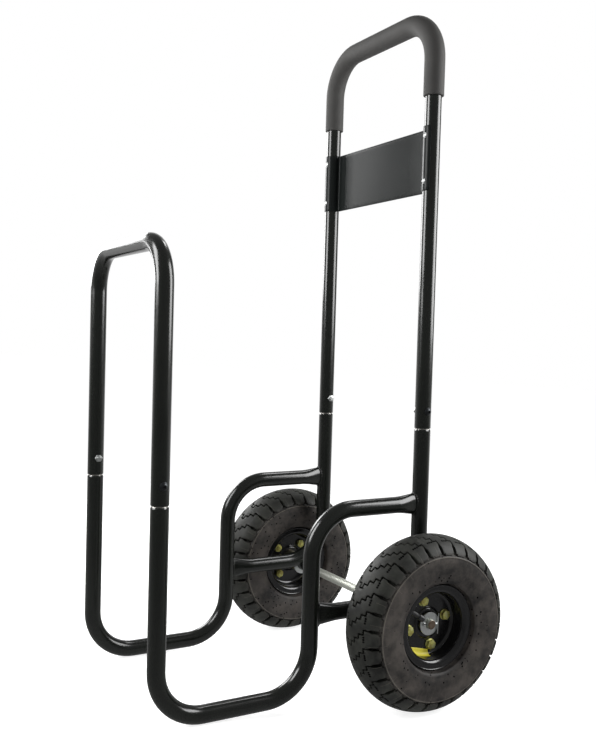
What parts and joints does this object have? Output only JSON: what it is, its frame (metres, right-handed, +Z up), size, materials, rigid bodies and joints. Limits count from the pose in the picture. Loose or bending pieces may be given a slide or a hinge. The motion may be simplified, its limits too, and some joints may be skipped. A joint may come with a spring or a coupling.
{
  "type": "fireside log cart",
  "caption": "Two-wheeled log cart of bent black tube: open log bay, front hoop, tall handle hoop with foam grip and back panel, and air-filled wheels on a through axle.",
  "frame": {"origin": "on the floor, under the middle of the cart's bounding box", "axes": "+Z up, -Y to the front (the log bay), +Y to the handle side, +X to the cart's left"},
  "size_m": [0.4964, 0.5596, 1.0523],
  "materials": {
    "powder_coat": "semi-gloss black powder coat on steel tube",
    "panel_coat": "satin charcoal powder coat on sheet steel",
    "grip_foam": "matte dark grey moulded foam",
    "rivet": "bright aluminium blind rivets",
    "dark_bolt": "black zinc bolts with round heads",
    "zinc": "bright zinc plate",
    "axle_zinc": "dull zinc-plated rod with bare cut ends",
    "hub_zinc": "pale yellowish zinc on the hub barrel",
    "yellow_zinc": "yellow passivated zinc fasteners",
    "rim_gloss": "gloss black paint on pressed steel",
    "tyre_rubber": "moulded rubber, slightly dusty",
    "butyl": "black butyl rubber",
    "cap_plastic": "black moulded plastic"
  },
  "bodies": {
    "frame": {"side_tube_left": "powder_coat", "side_tube_right": "powder_coat", "rear_leg_left": "powder_coat", "rear_leg_right": "powder_coat", "front_hoop": "powder_coat", "handle_hoop": "powder_coat", "handle_grip": "grip_foam", "back_panel": "panel_coat", "panel_rivets": "rivet", "front_joint_bolts": "dark_bolt", "front_joint_nuts": "zinc", "rear_joint_bolts": "dark_bolt", "rear_joint_nuts": "zinc", "axle_sleeve_left": "powder_coat", "axle_sleeve_right": "powder_coat", "axle": "axle_zinc", "axle_washers": "zinc", "split_pins": "zinc"},
    "left_wheel": {"left_tyre": "tyre_rubber", "left_inner_tube": "butyl", "left_rim_outer": "rim_gloss", "left_rim_inner": "rim_gloss", "left_hub": "hub_zinc", "left_bearings": "zinc", "left_rim_bolts": "yellow_zinc", "left_rim_nuts": "yellow_zinc", "left_valve_stem": "butyl", "left_valve_cap": "cap_plastic"},
    "right_wheel": {"right_tyre": "tyre_rubber", "right_inner_tube": "butyl", "right_rim_outer": "rim_gloss", "right_rim_inner": "rim_gloss", "right_hub": "hub_zinc", "right_bearings": "zinc", "right_rim_bolts": "yellow_zinc", "right_rim_nuts": "yellow_zinc", "right_valve_stem": "butyl", "right_valve_cap": "cap_plastic"}
  },
  "joints": [
    {"name": "left_wheel_spin", "type": "hinge", "parent": "frame", "child": "left_wheel", "pos_m": [0.20725, 0.14978, 0.13], "axis": [1, 0, 0], "continuous": true},
    {"name": "right_wheel_spin", "type": "hinge", "parent": "frame", "child": "right_wheel", "pos_m": [-0.20725, 0.14978, 0.13], "axis": [1, 0, 0], "continuous": true}
  ]
}
